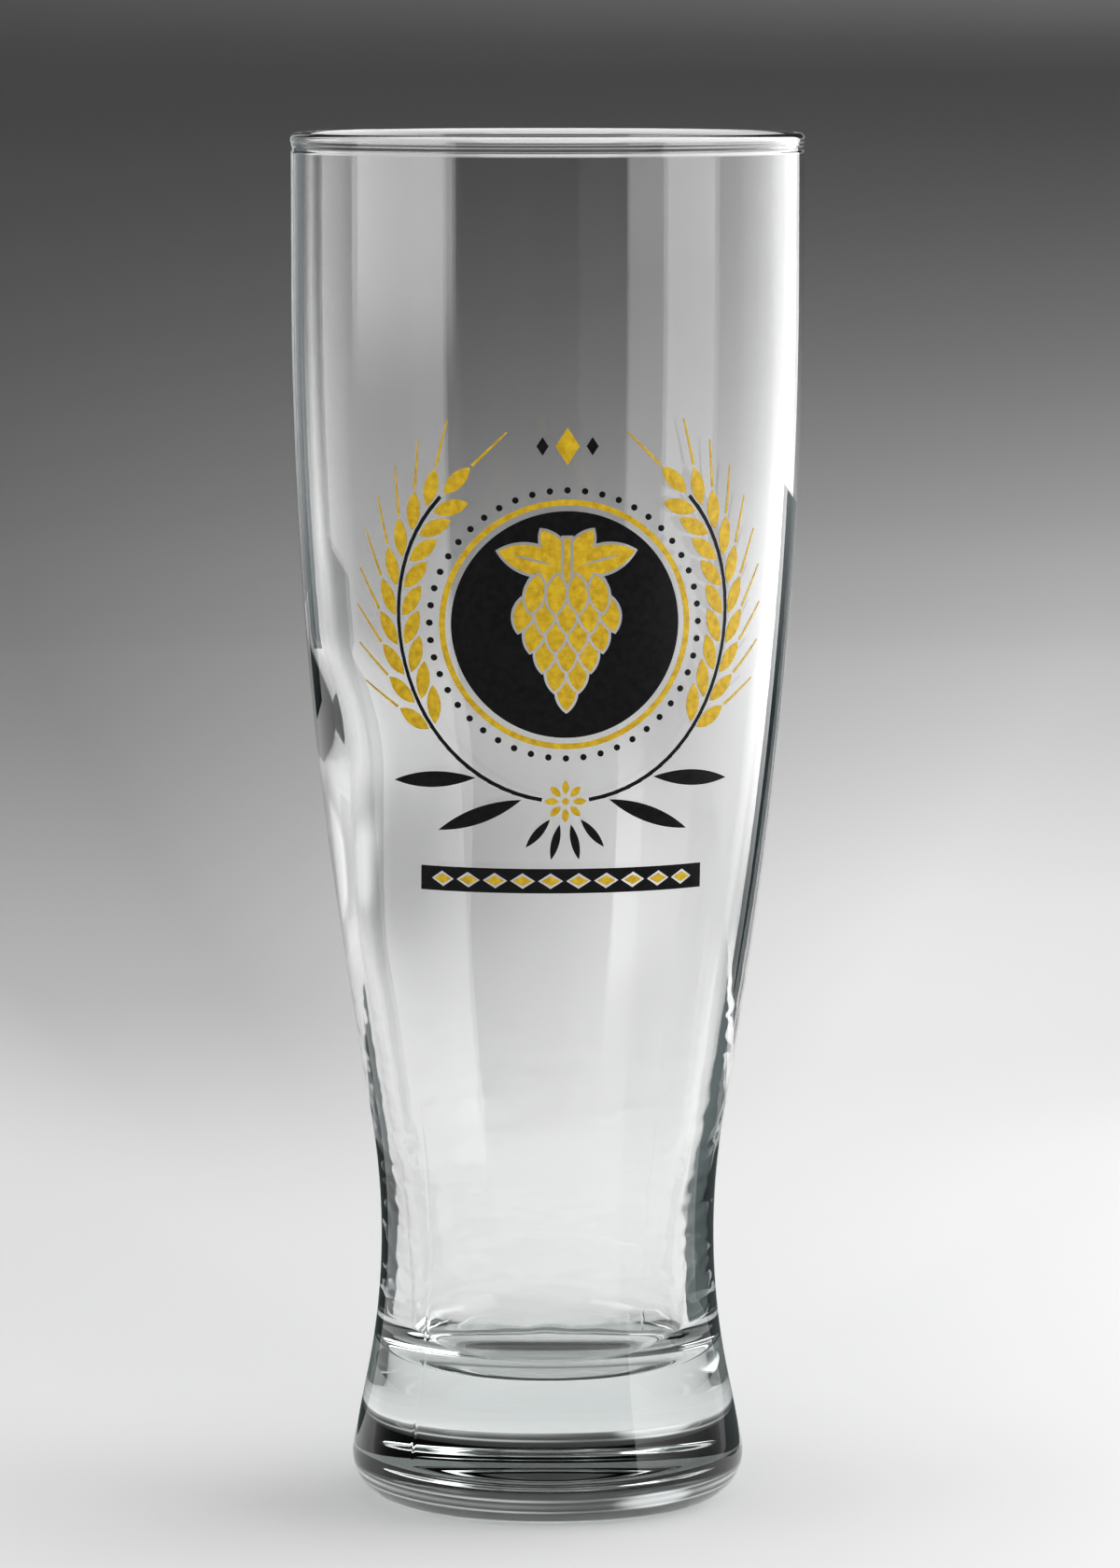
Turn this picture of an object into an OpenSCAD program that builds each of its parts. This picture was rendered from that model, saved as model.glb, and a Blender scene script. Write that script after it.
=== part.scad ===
// Pilsner glass: one clear vessel with a heavy foot, a waist and a wide mouth,
// decorated on the front with a brewing wreath fired on in black and gold enamel.
// Millimetres. +Z is up, the origin is the centre of the resting face and the
// decoration faces -Y.

/* [Vessel outside] */
// Height from the resting face to the top of the rim
height = 220; // [200:1:250]
// Outside diameter of the straight mouth
rim_d = 82; // [75:0.2:92]
// Straight length of wall under the rim
mouth_straight = 22.5; // [10:0.5:36]
// Straight length of the taper between belly and waist
taper_straight = 29; // [10:1:55]
// Outside diameter at the waist
waist_d = 53.8; // [48:0.2:58]
// Height of the waist
waist_z = 42.8; // [37:0.2:54]
// Radius of the outline just above the waist
waist_arc = 115; // [60:5:170]
// Straight length of the flare between waist and foot
flare_straight = 11.4; // [4:0.2:22]
// Outside diameter of the foot
foot_d = 63.2; // [60.4:0.2:75]
// Rounding of the foot's lower edge
foot_edge_r = 7.3; // [3:0.1:10]

/* [Vessel inside] */
// Thickness of the wall at the mouth
wall_t = 2.2; // [1.6:0.1:3.2]
// Thickness of the wall at the waist
waist_wall_t = 4.5; // [3:0.1:7]
// Straight length of the cavity's taper
cavity_taper = 38; // [10:1:55]
// Radius of the cavity's outline above its narrowest part
cavity_arc = 105; // [60:5:150]
// Straight length of the cavity's narrowest part
cavity_straight = 4.8; // [1:0.2:12]
// Thickness of the solid base under the cavity
floor_t = 21; // [12:0.5:27]
// Rounding between the cavity's wall and its floor
floor_corner_r = 8.6; // [4:0.2:14]
// Depth of the hollow under the foot
punt_depth = 2; // [0.5:0.1:4]
// Width of the flat ring that the foot stands on
contact_ring_w = 3.5; // [2:0.5:8]

/* [Rim] */
// How far the fire-polished bead stands out from the wall
bead_proud = 0.12; // [0.05:0.01:0.4]
// Depth of the fine groove under the bead
groove_depth = 0.18; // [0.05:0.01:0.4]
// Radius of the groove's section
groove_r = 0.8; // [0.5:0.1:1.5]
// Distance of the groove below the middle of the bead
groove_drop = 1.35; // [1.2:0.05:3]

/* [Enamel] */
// Thickness of the fired enamel
ink_t = 0.1; // [0.05:0.01:0.3]
// Clear line left between neighbouring shapes
ink_gap = 0.45; // [0.3:0.05:1]
// Distance of the roundel's centre below the rim
print_drop = 75.6; // [72:0.2:90]
// Turn of the decoration to the right, in degrees
print_turn = 4.5; // [-10:0.5:10]

/* [Hop cone] */
// Length of a bract
bract_l = 6.1; // [5:0.1:8]
// Width of a bract
bract_w = 2.9; // [2.4:0.1:4]
// Spacing of the rows
row_pitch = 3.05; // [2.8:0.05:4]
// Number of rows
hop_rows = 6; // [4:1:7]
// Outward turn from one bract to the next, in degrees
bract_splay = 8; // [0:1:12]
// Length of the stalk above the cone
stalk_l = 5.7; // [4:0.1:8]
// Width of the stalk
stalk_w = 1; // [0.6:0.1:1.6]
// Length of a leaf's middle lobe
leaf_l = 11; // [9:0.5:14]
// Width of a leaf's middle lobe
leaf_w = 4.4; // [3.5:0.1:6]
// Length of a leaf's side lobes
lobe_l = 7.2; // [5:0.1:9]
// Width of a leaf's side lobes
lobe_w = 3.2; // [2.5:0.1:4.5]
// Turn from the middle lobe to a side lobe, in degrees
lobe_turn = 42; // [30:1:55]
// Lean of a leaf from upright, in degrees
leaf_lean = 76; // [65:1:85]
// Width of a leaf's vein
vein_w = 0.4; // [0.3:0.05:0.8]

/* [Roundel] */
// Black border left around the hop
roundel_margin = 2.1; // [1:0.1:5]
// Width of the gold ring
ring_w = 0.9; // [0.5:0.1:2]
// Diameter of a dot in the row around the ring
dot_d = 1; // [0.6:0.1:1.6]
// Spacing of the dots
dot_pitch = 2.7; // [2:0.1:5]

/* [Barley wreath] */
// Clear space between the dots and the grains
wreath_gap = 0.8; // [0.5:0.1:3]
// Length of a grain
grain_l = 6.1; // [5:0.1:8]
// Width of a grain
grain_w = 2.4; // [1.8:0.1:3]
// Spacing of the grains along an ear
grain_pitch = 4.6; // [4.2:0.1:7]
// Lean of the outer grains from the ear's stem, in degrees
outer_lean = 24; // [20:1:32]
// Lean of the inner grains from the ear's stem, in degrees
inner_lean = 35; // [30:1:45]
// Where an ear starts, in degrees above the horizontal
ear_start = -36; // [-50:1:-20]
// Where an ear ends, in degrees above the horizontal
ear_end = 42; // [20:1:46]
// Length of an awn
awn_l = 7.6; // [4:0.2:12]
// Width of an awn at its root
awn_w = 0.45; // [0.3:0.05:0.7]
// Width of a stem
stem_w = 0.6; // [0.4:0.1:1.2]
// Length of a blade leaf
blade_l = 14.4; // [10:0.2:18]
// Width of a blade leaf
blade_w = 2.5; // [1.6:0.1:3.6]
// Length of a petal in the rosette that ties the stems
petal_l = 2.2; // [1.6:0.1:3]
// Width of a petal
petal_w = 1.1; // [0.7:0.1:1.4]
// Length of a cut stalk below the rosette
tail_l = 5.8; // [5:0.2:10]
// Width of a cut stalk
tail_w = 1.3; // [0.8:0.1:1.8]
// Height of the crowning lozenge
crown_h = 5.8; // [4:0.2:7]
// Width of the crowning lozenge
crown_w = 3.8; // [2.5:0.1:5]
// Height of the small lozenges beside it
crown_side_h = 2.9; // [2:0.1:4]
// Width of the small lozenges
crown_side_w = 1.9; // [1.2:0.1:3]

/* [Border] */
// Clear space between the wreath and the border
border_gap = 1.2; // [0.6:0.1:4]
// Length of the border around the glass
border_l = 44; // [30:1:58]
// Height of the border
border_h = 3.9; // [3:0.1:6]
// Enamel left above and below the lozenges
border_edge = 0.7; // [0.4:0.1:1]
// Spacing of the lozenges
lozenge_pitch = 4.4; // [4:0.1:8]

/* [Hidden] */
$fn = 256;

glass_colour = [0.80, 0.88, 0.86, 0.35];
black_enamel = [0.06, 0.06, 0.07];
gold_enamel = [0.85, 0.66, 0.17];
left = -1;
right = 1;

rim_r = rim_d / 2;
waist_r = waist_d / 2;
foot_r = foot_d / 2;
bead_d = wall_t + bead_proud;
bead_z = height - bead_d / 2;
mouth_z = bead_z - mouth_straight;
cavity_r = waist_r - waist_wall_t;
cavity_z = floor_t + floor_corner_r + cavity_straight;
punt_r = foot_r - foot_edge_r - contact_ring_w;
punt_sphere_r = (punt_r * punt_r + punt_depth * punt_depth) / (2 * punt_depth);

// How far neighbouring stretches of an outline run into each other
lap = 4;
// How deep one stretch cuts into the next, so that the two outlines cross
bite = 0.002;

// Two arcs that end upright and share a straight tangent: the sum of their radii
// for a given rise, step in radius and length of tangent, to a thousandth
function arc_sum(rise, step, straight) =
    round(1000 * (rise * rise + step * step - straight * straight) / (2 * step)) / 1000;
// Lean of that tangent from upright
function lean(rise, step, arcs) =
    atan2(rise, arcs - step) - acos(arcs / norm([rise, arcs - step]));

belly_arc = arc_sum(mouth_z - waist_z, rim_r - waist_r, taper_straight) - waist_arc;
flare_arc = arc_sum(waist_z - foot_edge_r, foot_r - waist_r, flare_straight) - foot_edge_r;
cavity_belly_arc = arc_sum(mouth_z - cavity_z, rim_r - wall_t - cavity_r, cavity_taper) - cavity_arc;

// Radius of the wall at a height within the belly
function wall_r(z) = rim_r - belly_arc + sqrt(belly_arc * belly_arc - (mouth_z - z) * (mouth_z - z));

print_z = height - print_drop;
print_r = wall_r(print_z);

hop_l = (hop_rows - 1) * row_pitch + bract_l;
bract_pitch = bract_w + ink_gap - bract_l / 2 * sin(bract_splay);
cone_top = (hop_l - stalk_l) / 2;
leaf_root = cone_top + stalk_w;
leaf_reach = norm([leaf_l * sin(leaf_lean), leaf_root + leaf_l * cos(leaf_lean)]);
roundel_r = max(leaf_reach, (hop_l + stalk_l) / 2) + roundel_margin;
ring_r = roundel_r + 2 * ink_gap;
dots_r = ring_r + ring_w + ink_gap + dot_d;
// Width of the dotted roundel laid flat along the wall
dots_reach = print_r * asin((dots_r + dot_d / 2) / print_r) * PI / 180;

grain_shift = stem_w / 2 + ink_gap;
wreath_r = dots_reach + wreath_gap + grain_shift + grain_l * sin(inner_lean);
grain_turn = grain_pitch / wreath_r * 180 / PI;
tip_turn = ear_end + grain_turn / 2;
rosette_r = petal_l + petal_w;
rosette_petals = 8;
// Cut stalks under the rosette, and the angle that they fan out over
tails = 4;
tail_fan = 80;
// Where the blade leaves spring from the stem, and how far they lean from it
blade_roots = [-58, -75];
blade_lean = 36;
border_top = -(wreath_r + rosette_r + ink_gap + tail_l + border_gap);
border_r = wall_r(print_z + border_top - border_h / 2);
lozenge_h = border_h - 2 * border_edge - 2 * ink_gap;
lozenge_w = lozenge_pitch - 3 * ink_gap;

// Half section of a flank that rises from a narrow radius, by a hollow arc, to
// the end of a straight that touches a full arc at a wide radius
module flank(narrow, wide, rise, hollow, full) {
    tilt = lean(rise, wide - narrow, hollow + full);
    across = [cos(tilt), -sin(tilt)];
    along = [sin(tilt), cos(tilt)];
    hollow_end = [narrow + hollow, 0] - hollow * across;
    low = hollow_end - lap * along + [bite, 0];
    high = [wide - full, rise] + full * across - [bite, 0];
    difference() {
        square([narrow + hollow, hollow_end.y]);
        translate([narrow + hollow, 0]) circle(hollow);
    }
    polygon([[0, low.y], low, high, [0, high.y]]);
}

// Half section of the full arc above such a flank
module belly(narrow, wide, rise, hollow, full) {
    drop = full * sin(lean(rise, wide - narrow, hollow + full)) + lap;
    intersection() {
        translate([wide - full, rise]) circle(full);
        translate([0, rise - drop]) square([wide + 1, drop + lap]);
    }
}

// Half section inside the outer face, grown by a skin
module outline(skin = 0) {
    waist = waist_r + skin;
    rim = rim_r + skin;
    rise = mouth_z - waist_z;
    edge = foot_edge_r + skin;
    translate([0, mouth_z]) square([rim, mouth_straight]);
    translate([0, waist_z]) {
        belly(waist, rim, rise, waist_arc - skin, belly_arc + skin);
        flank(waist, rim, rise, waist_arc - skin, belly_arc + skin);
        mirror([0, 1]) flank(waist, foot_r + skin, waist_z - foot_edge_r, flare_arc - skin, edge);
    }
    translate([foot_r - foot_edge_r, foot_edge_r]) circle(edge);
    square([foot_r - foot_edge_r, foot_edge_r + lap]);
}

// Half section of the hollow that holds the drink
module cavity() {
    corner = cavity_r - floor_corner_r;
    mouth = rim_r - wall_t;
    rise = mouth_z - cavity_z;
    translate([0, floor_t]) square([corner, floor_corner_r + lap]);
    translate([corner, floor_t + floor_corner_r]) circle(floor_corner_r);
    translate([0, floor_t + floor_corner_r]) square([cavity_r, cavity_straight + lap]);
    translate([0, cavity_z]) {
        flank(cavity_r, mouth, rise, cavity_arc, cavity_belly_arc);
        belly(cavity_r, mouth, rise, cavity_arc, cavity_belly_arc);
    }
    translate([0, mouth_z]) square([mouth, mouth_straight + lap]);
}

module glass_vessel()
    color(glass_colour) rotate_extrude() {
        difference() {
            outline();
            cavity();
            translate([rim_r + groove_r - groove_depth, bead_z - groove_drop]) circle(groove_r);
            translate([0, punt_depth - punt_sphere_r]) circle(punt_sphere_r);
        }
        translate([rim_r - wall_t + bead_d / 2, bead_z]) circle(d = bead_d);
    }

// A pointed oval standing on the origin
module lens(l, w) {
    r = (l * l + w * w) / (4 * w);
    translate([0, l / 2]) intersection() {
        translate([r - w / 2, 0]) circle(r);
        translate([w / 2 - r, 0]) circle(r);
    }
}

module lozenge(w, h)
    polygon([[w / 2, 0], [0, h / 2], [-w / 2, 0], [0, -h / 2]]);

// The enamel's layer on the wall, all over the front
module film()
    rotate([0, 0, 180]) rotate_extrude(angle = 180) intersection() {
        difference() {
            outline(ink_t);
            outline();
        }
        translate([0, waist_z]) square([rim_r + 1, mouth_z - waist_z]);
    }

// A flat shape sent through the wall at a distance around and above the roundel's
// centre, where the wall has the given radius
module stamp(around, above, r = print_r)
    rotate([0, 0, print_turn + around / r * 180 / PI])
        translate([0, 0, print_z + above])
            rotate([90, 0, 0]) linear_extrude(height = rim_d) children();

module black() color(black_enamel) intersection() { film(); union() children(); }
module gold() color(gold_enamel) intersection() { film(); union() children(); }

function bracts(row) = row == 0 ? hop_rows - 2 : hop_rows - row;

// One row of the hop cone, its bracts grown by a border
module bract_row(row, border = 0)
    for (place = [0 : bracts(row) - 1]) {
        step = place - (bracts(row) - 1) / 2;
        translate([step * bract_pitch, cone_top - row * row_pitch])
            rotate(180 + step * bract_splay)
                translate([0, -border]) lens(bract_l + 2 * border, bract_w + 2 * border);
    }

module hop_cone(border = 0)
    for (row = [0 : hop_rows - 1]) bract_row(row, border);

// A three-lobed leaf on the given side, grown by a border
module leaf_shape(side, border = 0)
    translate([0, leaf_root]) rotate(-side * leaf_lean) {
        translate([0, -border]) lens(leaf_l + 2 * border, leaf_w + 2 * border);
        for (turn = [-lobe_turn, lobe_turn])
            rotate(turn) translate([0, -border]) lens(lobe_l + 2 * border, lobe_w + 2 * border);
    }

// The stalk, from half way down the first bracts, grown by a border
module stalk_shape(border = 0)
    translate([-stalk_w / 2 - border, cone_top - bract_l / 2])
        square([stalk_w + 2 * border, bract_l / 2 + stalk_l + border]);

// A shape standing on the wreath's path at an angle, leaning off it and shifted outwards
module on_wreath(side, angle, off = 0, shift = 0)
    stamp(side * (wreath_r + shift) * cos(angle), (wreath_r + shift) * sin(angle))
        rotate(side * (angle + off)) children();

module roundel_field()
    black() stamp(0, 0) difference() {
        circle(roundel_r);
        hop_cone(ink_gap);
        stalk_shape(ink_gap);
        leaf_shape(left, ink_gap);
        leaf_shape(right, ink_gap);
    }

module roundel_ring()
    gold() stamp(0, 0) difference() {
        circle(ring_r + ring_w);
        circle(ring_r);
    }

module roundel_dots() {
    count = floor(2 * PI * dots_r / dot_pitch);
    black() stamp(0, 0)
        for (place = [0 : count - 1])
            rotate(place * 360 / count) translate([dots_r, 0]) circle(d = dot_d);
}

module hop_bracts()
    gold() stamp(0, 0)
        for (row = [0 : hop_rows - 1]) difference() {
            bract_row(row);
            if (row > 0) bract_row(row - 1, ink_gap);
        }

module hop_stalk()
    gold() stamp(0, 0) difference() {
        stalk_shape();
        hop_cone(ink_gap);
    }

module hop_leaf(side)
    gold() stamp(0, 0) difference() {
        leaf_shape(side);
        hop_cone(ink_gap);
        stalk_shape(ink_gap);
        translate([0, leaf_root]) rotate(-side * leaf_lean)
            translate([0, leaf_w / 2]) lens(leaf_l - leaf_w, vein_w);
    }

module barley_grains(side)
    gold() {
        for (angle = [ear_start : grain_turn : ear_end]) {
            on_wreath(side, angle, inner_lean, -grain_shift) lens(grain_l, grain_w);
            on_wreath(side, angle, -outer_lean, grain_shift) lens(grain_l, grain_w);
        }
        on_wreath(side, tip_turn) lens(grain_l, grain_w);
    }

module awn()
    translate([0, grain_l + ink_gap])
        polygon([[-awn_w / 2, 0], [awn_w / 2, 0], [awn_w / 4, awn_l], [-awn_w / 4, awn_l]]);

module barley_awns(side)
    gold() {
        for (angle = [ear_start : grain_turn : ear_end])
            on_wreath(side, angle, -outer_lean, grain_shift) awn();
        on_wreath(side, tip_turn) awn();
    }

// A stem in short runs along the wreath's path, each sent through the wall where it lies
module barley_stem(side) {
    low = -90 + (rosette_r + ink_gap + stem_w) / wreath_r * 180 / PI;
    high = tip_turn - (ink_gap + stem_w) / wreath_r * 180 / PI;
    runs = 2 * ceil((high - low) / grain_turn);
    turn = (high - low) / runs;
    run_l = wreath_r * turn * PI / 180 + stem_w;
    black() for (run = [0 : runs - 1])
        on_wreath(side, low + (run + 0.5) * turn) square([stem_w, run_l], center = true);
}

module barley_blades(side)
    black() for (angle = blade_roots)
        on_wreath(side, angle, -blade_lean, grain_shift) lens(blade_l, blade_w);

module tie_rosette()
    gold() stamp(0, -wreath_r) {
        circle(d = petal_w);
        for (place = [0 : rosette_petals - 1])
            rotate(place * 360 / rosette_petals) translate([0, petal_w]) lens(petal_l, petal_w);
    }

module stalk_ends()
    black() stamp(0, -wreath_r)
        for (place = [0 : tails - 1])
            rotate(180 + tail_fan * (place / (tails - 1) - 0.5))
                translate([0, rosette_r + ink_gap]) lens(tail_l, tail_w);

module crown_lozenge()
    gold() stamp(0, wreath_r) lozenge(crown_w, crown_h);

module crown_side_lozenges()
    black() for (side = [left, right])
        stamp(side * ((crown_w + crown_side_w) / 2 + 2 * ink_gap), wreath_r)
            lozenge(crown_side_w, crown_side_h);

module border_row(border = 0) {
    count = floor((border_l - lozenge_w) / lozenge_pitch);
    for (place = [0 : count])
        stamp((place - count / 2) * lozenge_pitch, border_top - border_h / 2, border_r)
            lozenge(lozenge_w + 2 * border, lozenge_h + 2 * border);
}

module border_bar()
    black() difference() {
        stamp(0, border_top - border_h) translate([-border_l / 2, 0]) square([border_l, border_h]);
        border_row(ink_gap);
    }

module border_lozenges()
    gold() border_row();

glass_vessel();
roundel_field();
roundel_ring();
roundel_dots();
hop_bracts();
hop_stalk();
hop_leaf(left);  // hop_leaf_left
hop_leaf(right);  // hop_leaf_right
barley_grains(left);  // barley_grains_left
barley_grains(right);  // barley_grains_right
barley_awns(left);  // barley_awns_left
barley_awns(right);  // barley_awns_right
barley_stem(left);  // barley_stem_left
barley_stem(right);  // barley_stem_right
barley_blades(left);  // barley_blades_left
barley_blades(right);  // barley_blades_right
tie_rosette();
stalk_ends();
crown_lozenge();
crown_side_lozenges();
border_bar();
border_lozenges();
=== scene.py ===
"""A tall pilsner glass: clear pressed and blown glass with a fired enamel wreath on its front."""
import math

import bpy
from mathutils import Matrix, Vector


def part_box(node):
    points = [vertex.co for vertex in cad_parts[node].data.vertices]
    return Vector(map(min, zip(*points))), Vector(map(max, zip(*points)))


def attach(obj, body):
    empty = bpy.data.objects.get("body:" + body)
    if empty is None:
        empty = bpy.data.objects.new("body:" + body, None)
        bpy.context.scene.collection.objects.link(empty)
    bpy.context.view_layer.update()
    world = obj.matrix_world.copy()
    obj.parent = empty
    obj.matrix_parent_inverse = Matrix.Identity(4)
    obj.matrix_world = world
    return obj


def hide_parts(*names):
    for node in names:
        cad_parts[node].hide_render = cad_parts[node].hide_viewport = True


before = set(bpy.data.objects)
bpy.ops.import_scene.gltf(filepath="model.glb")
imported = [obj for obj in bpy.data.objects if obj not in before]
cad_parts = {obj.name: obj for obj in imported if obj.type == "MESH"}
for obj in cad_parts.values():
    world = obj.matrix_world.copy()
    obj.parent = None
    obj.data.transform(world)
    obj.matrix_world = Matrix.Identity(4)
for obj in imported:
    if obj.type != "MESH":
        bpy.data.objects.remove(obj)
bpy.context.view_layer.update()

MM = 0.001

# Vessel outside
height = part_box("glass_vessel")[1].z
rim_r = 41.0 * MM
mouth_straight = 22.5 * MM
taper_straight = 29.0 * MM
waist_r = 26.9 * MM
waist_z = 42.8 * MM
waist_arc = 115.0 * MM
flare_straight = 11.4 * MM
foot_r = 31.6 * MM
foot_edge_r = 7.3 * MM

# Vessel inside
wall_t = 2.2 * MM
waist_wall_t = 4.5 * MM
cavity_taper = 38.0 * MM
cavity_arc = 105.0 * MM
cavity_straight = 4.8 * MM
floor_t = 21.0 * MM
floor_corner_r = 8.6 * MM
punt_depth = 2.0 * MM
contact_ring_w = 3.5 * MM

# Rim
bead_proud = 0.12 * MM
groove_depth = 0.18 * MM
groove_r = 0.8 * MM
groove_drop = 1.35 * MM

# Spacing of the rings of the lathed mesh, and how close its points are taken as one
rim_step = 0.15 * MM
fine_step = 0.3 * MM
edge_step = 0.45 * MM
ripple_step = 0.6 * MM
ring_step = 0.9 * MM
curve_step = 1.4 * MM
long_step = 3.0 * MM
same_place = 1e-7
weld_distance = 1e-6

# Inputs of the lathe: its columns, and the marks that the making left in the glass
vessel_sizes = {
    "Columns": 248,
    "Column Crowding": 0.72,
    "Settle Height": 112 * MM,
    "Settle Tilt": -7 * MM,
    "Settle Rise": 21 * MM,
    "Settle Fall": 34 * MM,
    "Settle Depth": 1.5 * MM,
    "Ripple Depth": 0.12 * MM,
    "Ripple Bottom": 27 * MM,
    "Ripple Rise": 8 * MM,
    "Ripple Top": 92 * MM,
    "Ripple Fall": 45 * MM,
    "Ripple Length": 3.4 * MM,
    "Ripple Stretch": 2.2,
    "Ripple Detail": 2.0,
    "Ripple Roughness": 0.45,
    "Ripple Distortion": 0.6,
    "Seam Angle": math.radians(-134),
    "Seam Height": 0.05 * MM,
    "Seam Width": 0.45 * MM,
    "Seam Bottom": 9 * MM,
    "Seam Full": 14 * MM,
    "Seam Fade": 0.7,
    "Seam Top": 85 * MM,
    "Seed": 7.0,
}

# Glass
glass_ior = 1.52
glass_tint = (0.62, 0.85, 0.83, 1.0)
tint_density = 3.0
lamp_tint = (0.87, 0.89, 0.88, 1.0)
haze_scale = 60.0
haze_detail = 3.0
haze_span = (0.4, 0.75)
most_haze = 0.02
wave_scale = 220.0
wave_detail = 1.0
wave_depth = 0.004 * MM

# Enamel
enamels = {
    "black_enamel": {
        "dark": (0.0025, 0.0025, 0.003),
        "light": (0.007, 0.007, 0.008),
        "roughness": (0.32, 0.45),
        "gloss": 0.12,
    },
    "gold_enamel": {
        "dark": (0.50, 0.29, 0.006),
        "light": (0.78, 0.52, 0.02),
        "roughness": (0.30, 0.42),
        "gloss": 0.3,
    },
}
print_scales = {"Streak Scale": 900.0, "Grain Scale": 5200.0}
streak_detail = 3.0
grain_detail = 1.0
streak_relief = 0.5
grain_share = 0.35
mottle_span = (0.45, 0.9)
sheen_span = (0.3, 0.7)
relief_depth = 0.02 * MM
relief_strength = 0.6

# Stage: a floor that turns up into a wall
floor_flat = 1.6
sweep_r = 0.5
wall_top = 2.6
stage_columns = 128
floor_step = 0.2
sweep_step = 0.05
wall_step = 0.5
pale_floor = 0.80
grey_wall = 0.34
wall_shade_end = 2.0
matt = 0.9
paper_gloss = 0.1

# Glow of the floor and the wall at distances from the glass, where the lamps don't reach
backdrop_reach = 3.0
backdrop_glow = (
    (0.03, 0.0), (0.06, 0.08), (0.10, 0.14), (0.20, 0.18), (0.30, 0.22), (0.42, 0.24), (0.56, 0.28),
    (0.75, 0.35), (0.95, 0.34), (1.25, 0.30), (1.60, 0.27), (1.75, 0.19), (1.83, 0.12), (1.90, 0.07),
    (2.00, 0.0), (2.04, 0.0), (2.07, 0.3), (2.10, 0.3), (2.13, 0.0), (2.16, 0.0),
)
# Away from the glass the glow is stronger on the right than on the left, and rises again far to the left
glow_skew_start = (0.25, 0.65)
glow_skew_reach = 0.12
glow_skew = (0.45, 1.6)
far_left_reach = (-0.20, -0.42)
far_left_glow = 1.2
# It stays close to the glass and behind it, away from the floor in front of the lamps
glow_near = (0.30, 0.12)
glow_behind = (0.2, 0.7)
# A bright spot low on the wall, out of the picture, that shows in the left edge of the glass
edge_glow_bearing = -155
edge_glow_spread = (13, 6)
edge_glow_reach = (1.2, 1.7)
edge_glow = 0.55

# Card paints: two heights and the tones below and above them
card_tones = {
    # dark_card: painted shade, darkest low down and greyer higher up
    "dark_card": (0.10, 0.145, (0.019, 0.034, 0.036), (0.19, 0.215, 0.22)),
    # white_card: painted light, brighter higher up
    "white_card": (0.125, 0.19, (0.35, 0.35, 0.35), (0.8, 0.8, 0.8)),
    # shade_card: painted shade on the floor, pale at its lowest edge and dark above it
    "shade_card": (0.001, 0.02, (0.7, 0.7, 0.7), (0.06, 0.06, 0.06)),
    # ground_card: painted shade, an even dark floor
    "ground_card": (0.0, 0.01, (0.075, 0.10, 0.10), (0.075, 0.10, 0.10)),
}
# Cards: two bearings, the lower and the upper edge by distance and height, and the paint
card_r = 0.22
cards = {
    "left_card": (-136, -151, (card_r, 0.100), (card_r, 0.30), "dark_card"),
    "left_white_card": (-151, -159, (card_r, 0.125), (card_r, 0.30), "white_card"),
    "right_card": (134, 155, (card_r, 0.035), (card_r, 0.145), "dark_card"),
    "left_floor_card": (-140, -164, (0.085, 0.001), (0.36, 0.001), "ground_card"),
    "right_front_card": (48, 100, (0.13, 0.001), (0.36, 0.03), "shade_card"),
    "right_floor_card": (118, 162, (0.085, 0.001), (0.36, 0.001), "ground_card"),
}

# Softboxes: two bearings, the distance, two heights to fade in and two to fade out, and the radiance
softboxes = {
    "left_softbox": (-41, -94, 0.5, (0.13, 0.20, 0.26, 0.36), 2.4),
    "right_softbox": (53, 150, 0.5, (0.0, 0.12, 0.26, 0.5), 2.2),
}
# Panels above: the place, the target, the width, the depth and the radiance
high_panels = {
    "top_light": ((0, 0.3, 0.85), (0, 0.3, 0), 0.9, 0.9, 0.9),
    "front_light": ((0, -0.8, 0.75), (0, 0, 0.1), 1.0, 0.6, 2.9),
}
room_tone = 0.10

# The photograph's frame and camera
image_height_px = 1680
focal_px = 8295
sensor_mm = 36
camera_tilt = 5.84
camera_place = (0.0020, -1.238, 0.2422)

# Worked out from the sizes above
mouth_r = rim_r - wall_t
bead_r = (wall_t + bead_proud) / 2
bead_x = mouth_r + bead_r
bead_z = height - bead_r
mouth_z = bead_z - mouth_straight
cavity_r = waist_r - waist_wall_t
cavity_z = floor_t + floor_corner_r + cavity_straight
punt_r = foot_r - foot_edge_r - contact_ring_w
punt_sphere_r = (punt_r ** 2 + punt_depth ** 2) / (2 * punt_depth)


def arc_sum(rise, step, tangent):
    """Sum of the radii of two arcs that end upright and share a tangent of that length."""
    return (rise ** 2 + step ** 2 - tangent ** 2) / (2 * step)


def lean(rise, step, arcs):
    """Lean of that tangent from upright, in radians."""
    return math.atan2(rise, arcs - step) - math.acos(arcs / math.hypot(rise, arcs - step))


def arc(centre, radius, start, end, step):
    """Points along a round stretch between two angles in radians."""
    count = max(2, math.ceil(abs(end - start) * radius / step))
    angles = [start + (end - start) * i / count for i in range(count + 1)]
    return [(centre[0] + radius * math.cos(a), centre[1] + radius * math.sin(a)) for a in angles]


def straight(start, end, step):
    """Points along a straight stretch."""
    count = max(1, math.ceil(math.dist(start, end) / step))
    return [tuple(s + (e - s) * i / count for s, e in zip(start, end)) for i in range(count + 1)]


def join(*stretches):
    """One run of points from stretches, without the points that two of them share."""
    points = list(stretches[0])
    for stretch in stretches[1:]:
        points += stretch[1:] if math.dist(points[-1], stretch[0]) < same_place else stretch
    return points


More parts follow.
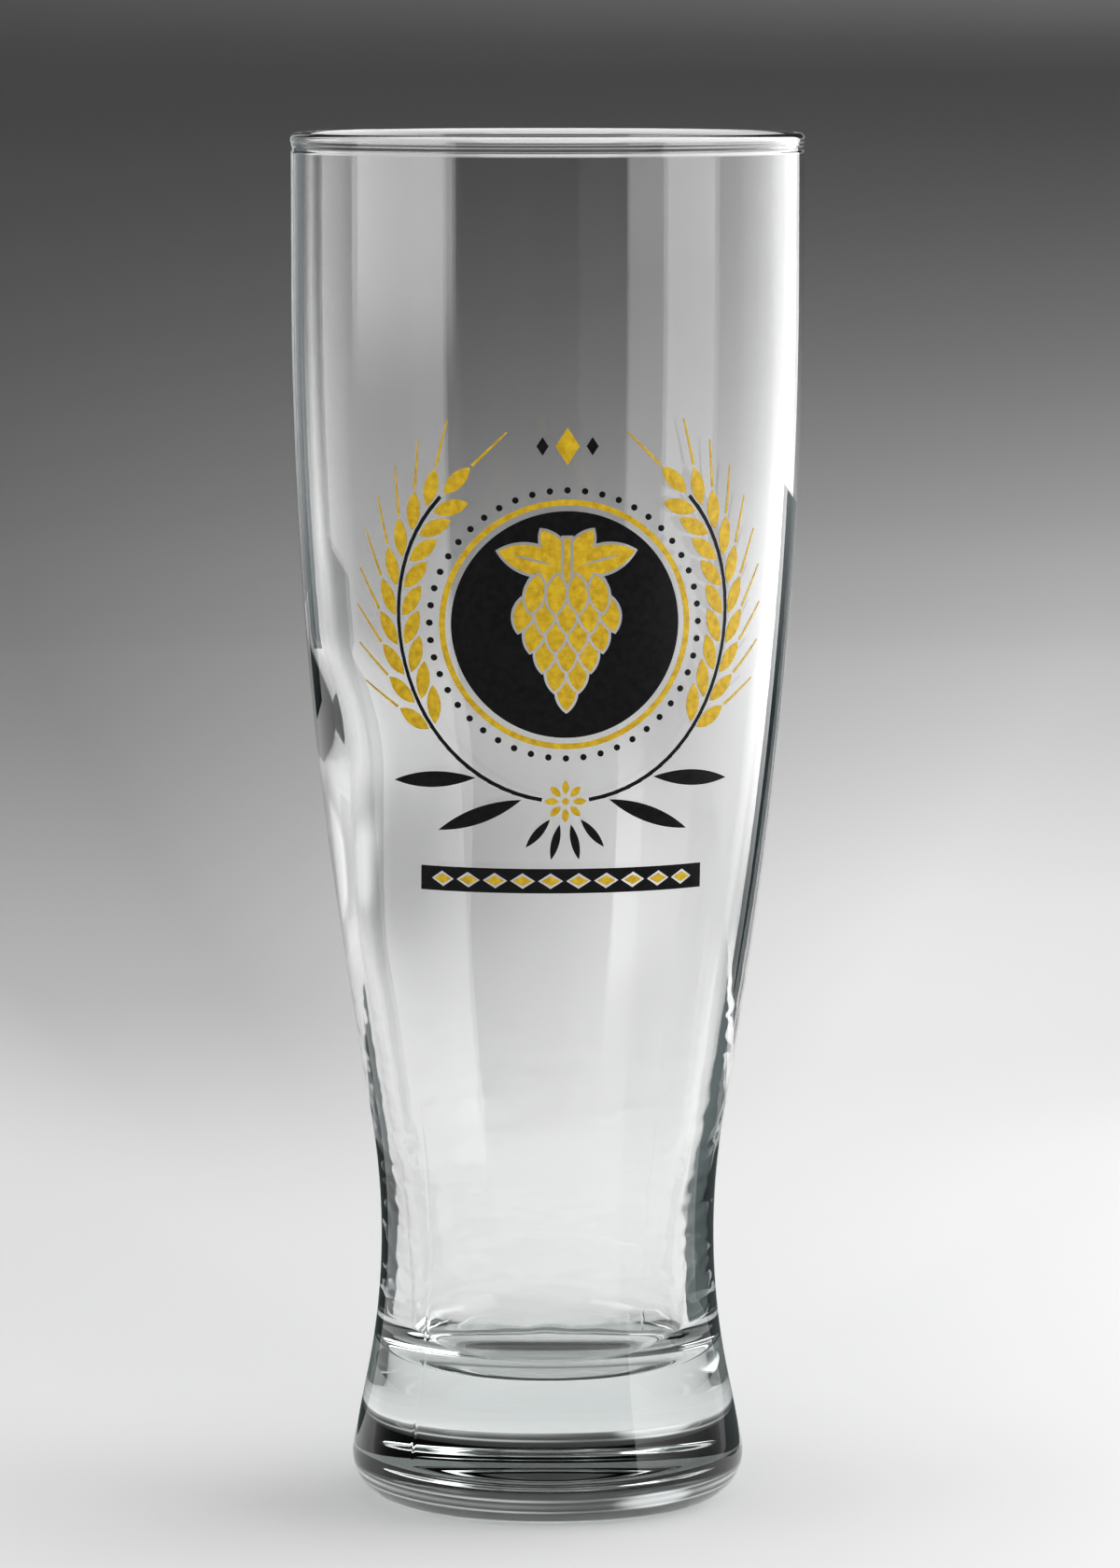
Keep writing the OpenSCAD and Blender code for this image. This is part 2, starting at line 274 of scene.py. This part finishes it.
def outer_outline():
    """Outside of the vessel, from the middle of the punt to the top of the rim."""
    flare = arc_sum(waist_z - foot_edge_r, foot_r - waist_r, flare_straight)
    flare_lean = lean(waist_z - foot_edge_r, foot_r - waist_r, flare)
    flare_arc = flare - foot_edge_r
    taper = arc_sum(mouth_z - waist_z, rim_r - waist_r, taper_straight)
    taper_lean = lean(mouth_z - waist_z, rim_r - waist_r, taper)
    belly_arc = taper - waist_arc
    punt_turn = math.asin(punt_r / punt_sphere_r)
    groove_turn = math.acos((groove_r - groove_depth) / groove_r)
    groove_x = rim_r + groove_r - groove_depth
    bead_turn = math.acos((rim_r - bead_x) / bead_r)
    up = math.pi / 2
    punt = arc((0, punt_depth - punt_sphere_r), punt_sphere_r, up, up - punt_turn, curve_step)
    edge = arc((foot_r - foot_edge_r, foot_edge_r), foot_edge_r, -up, flare_lean, edge_step)
    hollow = arc((waist_r + flare_arc, waist_z), flare_arc, math.pi + flare_lean, math.pi, curve_step)
    waist = arc((waist_r + waist_arc, waist_z), waist_arc, math.pi, math.pi - taper_lean, curve_step)
    belly = arc((rim_r - belly_arc, mouth_z), belly_arc, -taper_lean, 0, long_step)
    groove = arc(
        (groove_x, bead_z - groove_drop), groove_r, math.pi + groove_turn, math.pi - groove_turn, rim_step,
    )
    under_groove = (rim_r, groove[0][1] - fine_step)
    bead = arc((bead_x, bead_z), bead_r, -bead_turn, math.pi, rim_step)
    return join(
        punt,
        straight((punt_r, 0), edge[0], ring_step),
        edge,
        straight(edge[-1], hollow[0], curve_step),
        hollow,
        waist,
        straight(waist[-1], belly[0], long_step),
        belly,
        straight(belly[-1], under_groove, long_step),
        straight(under_groove, groove[0], fine_step),
        groove,
        straight(groove[-1], bead[0], fine_step),
        bead,
    )


def inner_outline():
    """Inside of the vessel, from under the rim to the middle of the floor."""
    taper = arc_sum(mouth_z - cavity_z, mouth_r - cavity_r, cavity_taper)
    taper_lean = lean(mouth_z - cavity_z, mouth_r - cavity_r, taper)
    belly_arc = taper - cavity_arc
    corner = (cavity_r - floor_corner_r, floor_t + floor_corner_r)
    belly = arc((mouth_r - belly_arc, mouth_z), belly_arc, 0, -taper_lean, curve_step)
    waist = arc((cavity_r + cavity_arc, cavity_z), cavity_arc, math.pi - taper_lean, math.pi, ripple_step)
    bend = arc(corner, floor_corner_r, 0, -math.pi / 2, ripple_step)
    return join(
        straight((mouth_r, bead_z - fine_step), (mouth_r, mouth_z), long_step),
        belly,
        straight(belly[-1], waist[0], ripple_step),
        waist,
        straight(waist[-1], bend[0], ripple_step),
        bend,
        straight(bend[-1], (0, floor_t), curve_step),
    )


def socket_value(tree, socket, value):
    """Links a socket to another or gives it a plain value."""
    if isinstance(value, bpy.types.NodeSocket):
        tree.links.new(value, socket)
    else:
        socket.default_value = value


def add_node(tree, kind, inputs=None, **settings):
    """A node with its settings and its inputs, by name or by place."""
    made = tree.nodes.new(kind)
    for key, value in settings.items():
        setattr(made, key, value)
    for key, value in (inputs or {}).items():
        socket_value(tree, made.inputs[key], value)
    return made


def sums(tree, operation, *values):
    """The result of one Math node."""
    return add_node(tree, "ShaderNodeMath", dict(enumerate(values)), operation=operation).outputs[0]


def split(tree, vector):
    """The X, Y and Z of a vector."""
    return add_node(tree, "ShaderNodeSeparateXYZ", {0: vector}).outputs


def combine(tree, *values):
    """A vector from its X, Y and Z."""
    return add_node(tree, "ShaderNodeCombineXYZ", dict(enumerate(values))).outputs[0]


def smooth_step(tree, value, start, end):
    """0 before start, 1 after end and a smooth rise between them."""
    inputs = {"Value": value, "From Min": start, "From Max": end}
    return add_node(tree, "ShaderNodeMapRange", inputs, interpolation_type="SMOOTHSTEP").outputs["Result"]


def map_range(tree, value, from_min, from_max, to_min, to_max):
    """A clamped straight mapping."""
    inputs = {"Value": value, "From Min": from_min, "From Max": from_max, "To Min": to_min, "To Max": to_max}
    return add_node(tree, "ShaderNodeMapRange", inputs).outputs["Result"]


def object_place(tree):
    """The object's own coordinates."""
    return add_node(tree, "ShaderNodeTexCoord").outputs["Object"]


def object_noise(tree, scale, detail):
    """Noise on the object's own coordinates; scale is in features a metre."""
    inputs = {"Vector": object_place(tree), "Scale": scale, "Detail": detail}
    return add_node(tree, "ShaderNodeTexNoise", inputs).outputs[0]


def blend_colours(tree, share, first, second):
    """A colour between two others."""
    inputs = {"Factor": share, 6: (*first, 1.0), 7: (*second, 1.0)}
    return add_node(tree, "ShaderNodeMix", inputs, data_type="RGBA").outputs[2]


def settle_depth(tree, given, east, level, inside):
    """Thicker glass, most of it on one side, below where the two blows met."""
    settle_level = sums(tree, "MULTIPLY_ADD", east, given["Settle Tilt"], given["Settle Height"])
    above = sums(tree, "SUBTRACT", level, settle_level)
    below = sums(tree, "SUBTRACT", settle_level, level)
    rise = smooth_step(tree, above, given["Settle Rise"], 0.0)
    fall = smooth_step(tree, below, given["Settle Fall"], 0.0)
    west_share = sums(tree, "MULTIPLY_ADD", east, -0.5, 0.5)
    settle = sums(tree, "MULTIPLY", sums(tree, "MULTIPLY", rise, fall), sums(tree, "POWER", west_share, 2))
    return sums(tree, "MULTIPLY", sums(tree, "MULTIPLY", settle, inside), given["Settle Depth"])


def chill_ripple(tree, given, east, north, radius, level, inside):
    """Ripples low on the inner wall, where the glass chilled first."""
    reach = sums(tree, "DIVIDE", radius, given["Ripple Stretch"])
    spot = combine(tree, sums(tree, "MULTIPLY", east, reach), sums(tree, "MULTIPLY", north, reach), level)
    inputs = {
        "Vector": spot,
        "W": given["Seed"],
        "Scale": sums(tree, "DIVIDE", 1, given["Ripple Length"]),
        "Detail": given["Ripple Detail"],
        "Roughness": given["Ripple Roughness"],
        "Distortion": given["Ripple Distortion"],
    }
    noise = add_node(tree, "ShaderNodeTexNoise", inputs, noise_dimensions="4D")
    ripple = sums(tree, "SUBTRACT", noise.outputs[0], 0.5)
    full_bottom = sums(tree, "ADD", given["Ripple Bottom"], given["Ripple Rise"])
    full_top = sums(tree, "SUBTRACT", given["Ripple Top"], given["Ripple Fall"])
    rise = smooth_step(tree, level, given["Ripple Bottom"], full_bottom)
    fall = smooth_step(tree, level, given["Ripple Top"], full_top)
    ripple = sums(tree, "MULTIPLY", ripple, sums(tree, "MULTIPLY", rise, fall))
    ripple = sums(tree, "MULTIPLY", ripple, sums(tree, "MULTIPLY", inside, 2))
    return sums(tree, "MULTIPLY", ripple, given["Ripple Depth"])


def seam_ridge(tree, given, angle, radius, level, outside):
    """Fine ridges left by the mould's halves, fading out upwards."""
    from_seam = sums(tree, "SUBTRACT", angle, given["Seam Angle"])
    aside = sums(tree, "ABSOLUTE", sums(tree, "MULTIPLY", sums(tree, "SINE", from_seam), radius))
    seam = smooth_step(tree, aside, given["Seam Width"], 0.0)
    fade_start = sums(tree, "MULTIPLY", given["Seam Top"], given["Seam Fade"])
    seam = sums(tree, "MULTIPLY", seam, smooth_step(tree, level, given["Seam Top"], fade_start))
    seam = sums(tree, "MULTIPLY", seam, smooth_step(tree, level, given["Seam Bottom"], given["Seam Full"]))
    return sums(tree, "MULTIPLY", sums(tree, "MULTIPLY", seam, outside), given["Seam Height"])


def lathe_tree(material):
    """Turns an outline into a closed vessel, with the marks of its making."""
    tree = bpy.data.node_groups.new("turned_vessel", "GeometryNodeTree")
    tree.interface.new_socket("Geometry", in_out="INPUT", socket_type="NodeSocketGeometry")
    for name, value in vessel_sizes.items():
        kind = "NodeSocketInt" if isinstance(value, int) else "NodeSocketFloat"
        tree.interface.new_socket(name, in_out="INPUT", socket_type=kind)
    tree.interface.new_socket("Geometry", in_out="OUTPUT", socket_type="NodeSocketGeometry")
    given = tree.nodes.new("NodeGroupInput").outputs
    outline = given["Geometry"]
    position = tree.nodes.new("GeometryNodeInputPosition").outputs[0]

    # A grid with a row for each point of the outline
    count = add_node(tree, "GeometryNodeAttributeDomainSize", {"Geometry": outline}).outputs["Point Count"]
    columns = sums(tree, "ADD", given["Columns"], 1)
    grid_sizes = {"Vertices X": columns, "Vertices Y": count, "Size X": 1, "Size Y": 1}
    shape = add_node(tree, "GeometryNodeMeshGrid", grid_sizes).outputs["Mesh"]
    place = split(tree, position)
    share = sums(tree, "ADD", place["X"], 0.5)
    row = sums(tree, "MULTIPLY", sums(tree, "ADD", place["Y"], 0.5), sums(tree, "SUBTRACT", count, 1))
    row = sums(tree, "ROUND", row)

    # Columns stand closer together at the two mould seams
    turn = sums(tree, "MULTIPLY", share, math.tau)
    from_seam = sums(tree, "SUBTRACT", turn, given["Seam Angle"])
    swing = sums(tree, "SINE", sums(tree, "MULTIPLY", from_seam, 2))
    swing = sums(tree, "MULTIPLY", swing, sums(tree, "MULTIPLY", given["Column Crowding"], 0.5))
    angle = sums(tree, "SUBTRACT", turn, swing)
    east = sums(tree, "COSINE", angle)
    north = sums(tree, "SINE", angle)

    def along_outline(data_type, field):
        """A value of the outline's own point for this row."""
        inputs = {"Geometry": outline, "Value": field, "Index": row}
        settings = {"data_type": data_type, "domain": "POINT"}
        return add_node(tree, "GeometryNodeSampleIndex", inputs, **settings).outputs["Value"]

    point = split(tree, along_outline("FLOAT_VECTOR", position))
    radius, level = point["X"], point["Z"]
    inside = add_node(tree, "GeometryNodeInputNamedAttribute", {"Name": "inside"}, data_type="FLOAT")
    inside = along_outline("FLOAT", inside.outputs["Attribute"])
    outside = sums(tree, "SUBTRACT", 1, inside)

    settle = settle_depth(tree, given, east, level, inside)
    ripple = chill_ripple(tree, given, east, north, radius, level, inside)
    seam = seam_ridge(tree, given, angle, radius, level, outside)
    radius = sums(tree, "ADD", sums(tree, "ADD", sums(tree, "SUBTRACT", radius, settle), ripple), seam)
    spot = combine(tree, sums(tree, "MULTIPLY", east, radius), sums(tree, "MULTIPLY", north, radius), level)
    for kind, inputs in (
        ("GeometryNodeSetPosition", {"Position": spot}),
        ("GeometryNodeMergeByDistance", {"Distance": weld_distance}),
        ("GeometryNodeSetShadeSmooth", {}),
        ("GeometryNodeRealizeInstances", {}),
        ("GeometryNodeSetMaterial", {"Material": material}),
    ):
        shape = add_node(tree, kind, {"Geometry": shape, **inputs}).outputs[0]
    tree.links.new(shape, tree.nodes.new("NodeGroupOutput").inputs["Geometry"])
    return tree


def make_vessel(material):
    """The glass itself, turned from its outline."""
    outer, inner = outer_outline(), inner_outline()
    points = outer + inner
    mesh = bpy.data.meshes.new("vessel_outline")
    mesh.from_pydata([(x, 0, z) for x, z in points], [(i, i + 1) for i in range(len(points) - 1)], [])
    inside = mesh.attributes.new("inside", "FLOAT", "POINT")
    inside.data.foreach_set("value", [0.0] * len(outer) + [1.0] * len(inner))
    vessel = bpy.data.objects.new("clear_vessel", mesh)
    bpy.context.scene.collection.objects.link(vessel)
    tree = lathe_tree(material)
    turning = vessel.modifiers.new("turning", "NODES")
    turning.node_group = tree
    for item in tree.interface.items_tree:
        if item.in_out == "INPUT" and item.name in vessel_sizes:
            turning[item.identifier] = vessel_sizes[item.name]
    solid = bpy.data.meshes.new_from_object(vessel.evaluated_get(bpy.context.evaluated_depsgraph_get()))
    vessel.modifiers.remove(turning)
    vessel.data = solid
    solid.name = "clear_vessel"
    return vessel


def new_material(name):
    """A material with its node tree and the Principled shader linked to the output."""
    material = bpy.data.materials.new(name)
    material.use_nodes = True
    tree = material.node_tree
    shader = tree.nodes["Principled BSDF"]
    return material, tree, shader


def clear_glass():
    """Soda-lime glass, faintly green in the thick parts."""
    material, tree, shader = new_material("clear_glass")
    shader.inputs["Base Color"].default_value = (1.0, 1.0, 1.0, 1.0)
    shader.inputs["IOR"].default_value = glass_ior
    shader.inputs["Transmission Weight"].default_value = 1.0
    haze = map_range(tree, object_noise(tree, haze_scale, haze_detail), *haze_span, 0.0, most_haze)
    tree.links.new(haze, shader.inputs["Roughness"])
    waves = object_noise(tree, wave_scale, wave_detail)
    bump = add_node(tree, "ShaderNodeBump", {"Height": waves, "Strength": 1.0, "Distance": wave_depth})
    tree.links.new(bump.outputs[0], shader.inputs["Normal"])
    # Lamps shine through to what stands behind, a little dimmed at each surface
    lit = add_node(tree, "ShaderNodeBsdfTransparent", {"Color": lamp_tint})
    shadow_ray = add_node(tree, "ShaderNodeLightPath").outputs["Is Shadow Ray"]
    surface = add_node(tree, "ShaderNodeMixShader", {0: shadow_ray, 1: shader.outputs[0], 2: lit.outputs[0]})
    output = tree.nodes["Material Output"].inputs
    tree.links.new(surface.outputs[0], output["Surface"])
    tint = add_node(tree, "ShaderNodeVolumeAbsorption", {"Color": glass_tint, "Density": tint_density})
    tree.links.new(tint.outputs[0], output["Volume"])
    return material


def print_grain_group():
    """Grain of a fired screen print: the film's tone, its grain and its height."""
    group = bpy.data.node_groups.new("print_grain", "ShaderNodeTree")
    for name, value in print_scales.items():
        scale = group.interface.new_socket(name, in_out="INPUT", socket_type="NodeSocketFloat")
        scale.default_value = value
    for name in ("Tone", "Grain", "Height"):
        group.interface.new_socket(name, in_out="OUTPUT", socket_type="NodeSocketFloat")
    given = group.nodes.new("NodeGroupInput").outputs
    tone = object_noise(group, given["Streak Scale"], streak_detail)
    grain = object_noise(group, given["Grain Scale"], grain_detail)
    out = group.nodes.new("NodeGroupOutput").inputs
    group.links.new(tone, out["Tone"])
    group.links.new(grain, out["Grain"])
    group.links.new(sums(group, "MULTIPLY_ADD", tone, streak_relief, grain), out["Height"])
    return group


def enamel(name, grain_group, dark, light, roughness, gloss):
    """Fired enamel between two tones."""
    material, tree, shader = new_material(name)
    grain = add_node(tree, "ShaderNodeGroup", node_tree=grain_group).outputs
    mottle = sums(tree, "MULTIPLY_ADD", grain["Grain"], grain_share, grain["Tone"])
    colour = blend_colours(tree, map_range(tree, mottle, *mottle_span, 0.0, 1.0), dark, light)
    tree.links.new(colour, shader.inputs["Base Color"])
    tree.links.new(map_range(tree, grain["Tone"], *sheen_span, *roughness), shader.inputs["Roughness"])
    relief = {"Height": grain["Height"], "Strength": relief_strength, "Distance": relief_depth}
    tree.links.new(add_node(tree, "ShaderNodeBump", relief).outputs[0], shader.inputs["Normal"])
    shader.inputs["Specular IOR Level"].default_value = gloss
    return material


def at_bearing(bearing, distance):
    """A place on the floor, by degrees to the right of the camera's side of the glass."""
    turn = math.radians(bearing)
    return Vector((distance * math.sin(turn), -distance * math.cos(turn), 0))


def stage_glow(tree, spot, away):
    """Glow of the floor and the wall."""
    ramp = add_node(tree, "ShaderNodeValToRGB", {0: sums(tree, "DIVIDE", away, backdrop_reach)})
    ramp.color_ramp.interpolation = "B_SPLINE"
    ramp.color_ramp.elements.remove(ramp.color_ramp.elements[1])
    for distance, tone in backdrop_glow:
        stop = ramp.color_ramp.elements.new(distance / backdrop_reach)
        stop.color = (tone, tone, tone, 1.0)
    place = split(tree, spot)
    aside = sums(tree, "DIVIDE", place["X"], away)
    behind = sums(tree, "DIVIDE", place["Y"], away)
    skew = map_range(tree, aside, -glow_skew_reach, glow_skew_reach, *glow_skew)
    skew = sums(tree, "ADD", skew, map_range(tree, aside, *far_left_reach, 0.0, far_left_glow))
    skewed = smooth_step(tree, away, *glow_skew_start)
    skew = sums(tree, "MULTIPLY_ADD", sums(tree, "SUBTRACT", skew, 1), skewed, 1)
    near = smooth_step(tree, away, *glow_near)
    reach = sums(tree, "MAXIMUM", near, smooth_step(tree, behind, *glow_behind))
    glow = sums(tree, "MULTIPLY", ramp.outputs["Color"], sums(tree, "MULTIPLY", skew, reach))

    to_edge = {0: spot, 1: at_bearing(edge_glow_bearing, 1)}
    to_edge = add_node(tree, "ShaderNodeVectorMath", to_edge, operation="DOT_PRODUCT").outputs["Value"]
    to_edge = sums(tree, "DIVIDE", to_edge, away)
    edge = smooth_step(tree, to_edge, *[math.cos(math.radians(angle)) for angle in edge_glow_spread])
    edge = sums(tree, "MULTIPLY", edge, smooth_step(tree, away, *edge_glow_reach))
    return sums(tree, "MULTIPLY_ADD", edge, edge_glow, glow)


def studio_paper():
    """Paper, pale on the floor and grey on the wall, whose glow lights nothing but is seen."""
    material, tree, shader = new_material("studio_paper")
    shader.inputs["Roughness"].default_value = matt
    shader.inputs["Specular IOR Level"].default_value = paper_gloss
    spot = object_place(tree)
    away = add_node(tree, "ShaderNodeVectorMath", {0: spot}, operation="LENGTH").outputs["Value"]
    paint = map_range(tree, away, floor_flat, wall_shade_end, pale_floor, grey_wall)
    tree.links.new(paint, shader.inputs["Base Color"])
    path = add_node(tree, "ShaderNodeLightPath").outputs
    seen = sums(tree, "MAXIMUM", path["Is Camera Ray"], path["Is Glossy Ray"])
    seen = sums(tree, "MAXIMUM", seen, path["Is Transmission Ray"])
    tree.links.new(stage_glow(tree, spot, away), shader.inputs["Emission Color"])
    tree.links.new(seen, shader.inputs["Emission Strength"])
    return material


def make_stage():
    """A pale floor that sweeps up all round into a grey wall."""
    wall_r = floor_flat + sweep_r
    section = join(
        straight((0, 0), (floor_flat, 0), floor_step),
        arc((floor_flat, sweep_r), sweep_r, -math.pi / 2, 0, sweep_step),
        straight((wall_r, sweep_r), (wall_r, wall_top), wall_step),
    )
    rows = len(section)
    corners = []
    faces = []
    for column in range(stage_columns):
        turn = math.tau * column / stage_columns
        corners += [(x * math.cos(turn), x * math.sin(turn), z) for x, z in section]
        here, there = column * rows, (column + 1) % stage_columns * rows
        faces += [(here + i, there + i, there + i + 1, here + i + 1) for i in range(1, rows - 1)]
        faces.append((here, there + 1, here + 1))
    mesh = bpy.data.meshes.new("studio_sweep")
    mesh.from_pydata(corners, [], faces)
    mesh.shade_smooth()
    mesh.materials.append(studio_paper())
    sweep = bpy.data.objects.new("studio_sweep", mesh)
    bpy.context.scene.collection.objects.link(sweep)


def hidden_from(thing, *rays):
    """Keeps a lamp or a board out of sight of some kinds of rays."""
    for kind in rays:
        setattr(thing, "visible_" + kind, False)


def board(name, near, far, lower, upper, paint):
    """A flat board between two bearings; its lower and upper edges are pairs of distance and height."""
    corners = []
    for bearing, (distance, level) in ((near, lower), (far, lower), (far, upper), (near, upper)):
        corners.append(at_bearing(bearing, distance) + Vector((0, 0, level)))
    mesh = bpy.data.meshes.new(name)
    mesh.from_pydata(corners, [], [(0, 1, 2, 3)])
    mesh.materials.append(paint)
    made = bpy.data.objects.new(name, mesh)
    bpy.context.scene.collection.objects.link(made)
    hidden_from(made, "camera", "diffuse", "shadow", "volume_scatter")


def show_mirrored(tree, shader):
    """Lets a surface show as a mirror image in the glass, and not straight through the glass."""
    bounces = add_node(tree, "ShaderNodeLightPath").outputs["Glossy Depth"]
    mirrored = sums(tree, "GREATER_THAN", bounces, 0.5)
    clear = add_node(tree, "ShaderNodeBsdfTransparent")
    shown = add_node(tree, "ShaderNodeMixShader", {0: mirrored, 1: clear.outputs[0], 2: shader.outputs[0]})
    tree.links.new(shown.outputs[0], tree.nodes["Material Output"].inputs["Surface"])


def card_paint(name, low, high, low_tone, high_tone):
    """Matt paint that changes its tone between two heights: painted shade or painted light that only the
    glass mirrors.
    """
    material, tree, shader = new_material(name)
    share = map_range(tree, split(tree, object_place(tree))["Z"], low, high, 0.0, 1.0)
    tree.links.new(blend_colours(tree, share, low_tone, high_tone), shader.inputs["Base Color"])
    shader.inputs["Roughness"].default_value = matt
    show_mirrored(tree, shader)
    return material


def make_cards():
    """Cards round the glass that give it its dark and bright edges: painted shade and painted light, seen
    only as mirror images in the glass.
    """
    paints = {name: card_paint(name, *look) for name, look in card_tones.items()}
    for name, (near, far, lower, upper, paint) in cards.items():
        board(name, near, far, lower, upper, paints[paint])


def panel_fade(tree, level, fade):
    """Strength of a softbox over its height."""
    fade_in = smooth_step(tree, level, fade[0], fade[1])
    return sums(tree, "MULTIPLY", fade_in, smooth_step(tree, level, fade[3], fade[2]))


def panel_front(name, fade, radiance):
    """Glow of a softbox."""
    material, tree, shader = new_material(name)
    level = split(tree, object_place(tree))["Z"]
    strength = sums(tree, "MULTIPLY", panel_fade(tree, level, fade), radiance)
    glow = add_node(tree, "ShaderNodeEmission", {"Strength": strength})
    clear = add_node(tree, "ShaderNodeBsdfTransparent")
    show_mirrored(tree, add_node(tree, "ShaderNodeAddShader", {0: glow.outputs[0], 1: clear.outputs[0]}))
    tree.nodes.remove(shader)
    material.cycles.emission_sampling = "NONE"
    return material


def light_panel(name, place, target, width, depth, radiance):
    """A flat lamp that faces a target."""
    lamp = bpy.data.lights.new(name, "AREA")
    lamp.shape = "RECTANGLE"
    lamp.size = width
    lamp.size_y = depth
    lamp.energy = radiance * math.pi * width * depth
    panel = bpy.data.objects.new(name, lamp)
    panel.location = place
    panel.rotation_euler = (Vector(target) - Vector(place)).to_track_quat("-Z", "Y").to_euler()
    bpy.context.scene.collection.objects.link(panel)
    return panel


def softbox(name, near, far, distance, fade, radiance):
    """An upright lamp between two bearings, with a front that shows only as a mirror image."""
    top = fade[3]
    ends = [at_bearing(bearing, distance) for bearing in (near, far)]
    middle = (ends[0] + ends[1]) / 2
    width = (ends[0] - ends[1]).length
    panel = light_panel(name, (middle.x, middle.y, top / 2), (0, 0, top / 2), width, top, radiance)
    hidden_from(panel, "camera", "glossy", "transmission")
    panel.data.use_nodes = True
    tree = panel.data.node_tree
    share = split(tree, add_node(tree, "ShaderNodeNewGeometry").outputs["Parametric"])["Y"]
    strength = panel_fade(tree, sums(tree, "MULTIPLY", share, top), fade)
    tree.links.new(strength, tree.nodes["Emission"].inputs["Strength"])
    front = panel_front(name + "_front", fade, radiance)
    board(name + "_front", near, far, (distance, 0.0), (distance, top), front)


def make_lights():
    """Two close softboxes, two soft panels above and a dim room."""
    for name, sizes in softboxes.items():
        softbox(name, *sizes)
    for name, sizes in high_panels.items():
        hidden_from(light_panel(name, *sizes), "camera", "transmission")
    world = bpy.data.worlds.new("dim_room")
    world.use_nodes = True
    world.node_tree.nodes["Background"].inputs["Color"].default_value = (room_tone, room_tone, room_tone, 1.0)
    bpy.context.scene.world = world


def make_camera():
    """The camera at the photograph's place."""
    data = bpy.data.cameras.new("camera")
    data.sensor_width = sensor_mm
    data.lens = sensor_mm * focal_px / image_height_px
    camera = bpy.data.objects.new("camera", data)
    camera.location = camera_place
    camera.rotation_euler = (math.radians(90 - camera_tilt), 0, 0)
    bpy.context.scene.collection.objects.link(camera)
    bpy.context.scene.camera = camera


make_camera()
vessel = make_vessel(clear_glass())
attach(vessel, "root")
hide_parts("glass_vessel")

print_grain = print_grain_group()
finishes = {name: enamel(name, print_grain, **look) for name, look in enamels.items()}
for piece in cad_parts.values():
    for slot in piece.material_slots:
        slot_name = slot.material.name.split(".")[0]
        if slot_name in finishes:
            slot.material = finishes[slot_name]

make_stage()
make_cards()
make_lights()
bpy.context.scene.view_settings.view_transform = "Standard"
